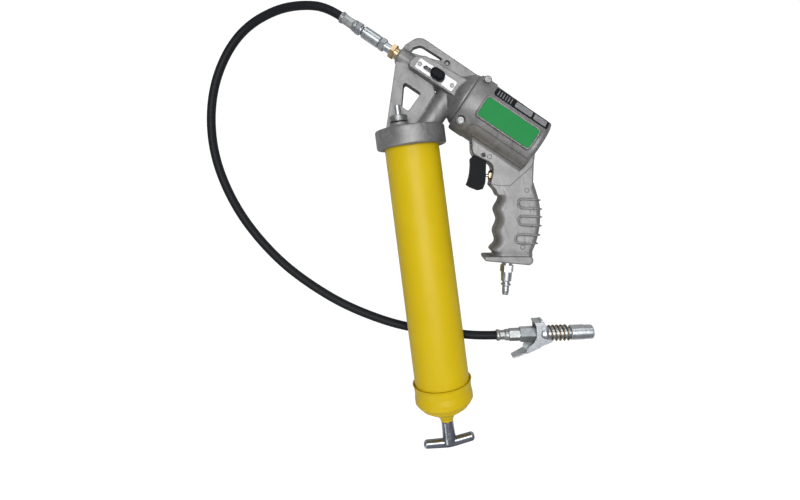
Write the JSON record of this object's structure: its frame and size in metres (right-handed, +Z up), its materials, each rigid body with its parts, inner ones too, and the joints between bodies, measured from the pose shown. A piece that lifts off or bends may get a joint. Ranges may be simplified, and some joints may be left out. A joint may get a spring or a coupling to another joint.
{
  "type": "grease gun",
  "caption": "Air-operated pistol-grip grease gun with a yellow cartridge barrel, cast aluminium head and motor, black whip hose and quick-release coupler.",
  "frame": {"origin": "on the surface the gun lies on, under the middle of the gun without its hose", "axes": "+Y runs up the barrel towards the pump head, +X towards the pistol grip, +Z up from the surface the gun lies on"},
  "size_m": [0.3991, 0.4874, 0.0747],
  "materials": {
    "cast_aluminium": "sand-cast and tumbled, light grey",
    "yellow_coat": "yellow powder coat",
    "chrome": "polished chrome plate",
    "zinc": "bright zinc plate",
    "dull_zinc": "dull crimped zinc plate",
    "brass": "turned brass",
    "spring_bronze": "oil-tempered spring wire, bronze toned",
    "steel": "machined steel",
    "rubber": "black rubber",
    "piston_alloy": "machined aluminium",
    "black_plastic": "black moulded plastic",
    "louvre": "grey stamped metal",
    "silver_plate": "bright satin plate",
    "green_label": "plain green label"
  },
  "bodies": {
    "root": {"air_plug": "zinc", "barrel_gasket": "rubber", "barrel_tube": "yellow_coat", "bleeder_body": "zinc", "bleeder_spring": "steel", "check_spring": "steel", "coupler_adapter": "dull_zinc", "coupler_boss": "zinc", "coupler_core": "zinc", "coupler_ferrule": "dull_zinc", "coupler_jaws": "steel", "coupler_lever_pin": "zinc", "coupler_nut": "zinc", "coupler_seal": "rubber", "coupler_spring": "spring_bronze", "follower_spring": "steel", "head_casting": "cast_aluminium", "hose": "rubber", "hose_ferrule": "dull_zinc", "hose_hex": "zinc", "housing_casting": "cast_aluminium", "housing_screws": "zinc", "label_far": "green_label", "label_near": "green_label", "outlet_nut": "brass", "rear_cap": "yellow_coat", "return_spring": "steel", "rod_gasket": "rubber", "selector_plate": "silver_plate", "selector_screws": "zinc", "spigot_seal": "rubber", "swivel_seal": "rubber", "swivel_shank": "zinc", "trigger_pin": "zinc", "valve_body": "brass", "valve_spring": "steel", "vent_frame": "black_plastic", "vent_louvres": "louvre", "vent_panel_front": "silver_plate", "vent_panel_rear": "silver_plate"},
    "follower": {"follower_cup": "rubber", "follower_front_plate": "steel", "follower_back_plate": "steel", "follower_nut": "steel", "follower_bush": "steel"},
    "rod": {"plunger_rod": "chrome", "rod_catch": "zinc", "t_handle": "chrome"},
    "trigger": {"trigger": "black_plastic"},
    "valve_stem": {"valve_stem": "steel"},
    "selector": {"selector_knob": "black_plastic", "selector_slide": "steel"},
    "piston": {"air_piston": "piston_alloy", "piston_seal": "rubber", "pump_plunger": "steel"},
    "bleeder_button": {"bleeder_button": "zinc"},
    "swivel_sleeve": {"swivel_sleeve": "zinc"},
    "coupler_lever": {"coupler_lever": "zinc"},
    "coupler_sleeve": {"coupler_sleeve": "zinc"},
    "check_ball": {"check_ball": "steel"}
  },
  "joints": [
    {"name": "plunger_slide", "type": "slide", "parent": "root", "child": "follower", "axis": [0, -1, 0], "range_m": [0, 0.2], "stiffness_N_per_m": 60, "deforming": ["follower_spring"]},
    {"name": "rod_turn", "type": "hinge", "parent": "follower", "child": "rod", "pos_m": [-0.0537, -0.1973, 0.0382], "axis": [0, 1, 0], "continuous": true},
    {"name": "trigger_pull", "type": "hinge", "parent": "root", "child": "trigger", "pos_m": [0.018, 0.0745, 0.0382], "axis": [0, 0, 1], "range_deg": [0, 7], "stiffness_Nm_per_rad": 0.4},
    {"name": "valve_push", "type": "slide", "parent": "root", "child": "valve_stem", "axis": [0.9826, -0.1857, 0], "range_m": [0, 0.0026], "deforming": ["valve_spring"]},
    {"name": "selector_shift", "type": "slide", "parent": "root", "child": "selector", "axis": [-0.7513, 0.66, 0], "range_m": [0, 0.01]},
    {"name": "piston_stroke", "type": "slide", "parent": "root", "child": "piston", "axis": [-0.7513, 0.66, 0], "range_m": [0, 0.025], "stiffness_N_per_m": 900, "deforming": ["return_spring"]},
    {"name": "bleeder_press", "type": "slide", "parent": "root", "child": "bleeder_button", "axis": [0, -1, 0], "range_m": [0, 0.0025], "stiffness_N_per_m": 300, "deforming": ["bleeder_spring"]},
    {"name": "swivel_turn", "type": "hinge", "parent": "root", "child": "swivel_sleeve", "pos_m": [-0.07999, 0.21208, 0.0382], "axis": [0.7513, -0.66, 0], "continuous": true},
    {"name": "coupler_squeeze", "type": "hinge", "parent": "root", "child": "coupler_lever", "pos_m": [0.06214, -0.11703, 0.0104], "axis": [0, 0, -1], "range_deg": [0, 10], "stiffness_Nm_per_rad": 0.5},
    {"name": "sleeve_retract", "type": "slide", "parent": "root", "child": "coupler_sleeve", "axis": [-0.9959, 0.0906, 0], "range_m": [0, 0.002], "deforming": ["coupler_spring"]},
    {"name": "check_open", "type": "slide", "parent": "root", "child": "check_ball", "axis": [-0.7513, 0.66, 0], "range_m": [0, 0.002], "stiffness_N_per_m": 60, "deforming": ["check_spring"]}
  ],
  "couplings": [
    {"joint": "valve_push", "follows": "trigger_pull", "m_per_rad": 0.0212},
    {"joint": "sleeve_retract", "follows": "coupler_squeeze", "m_per_rad": 0.01146}
  ]
}
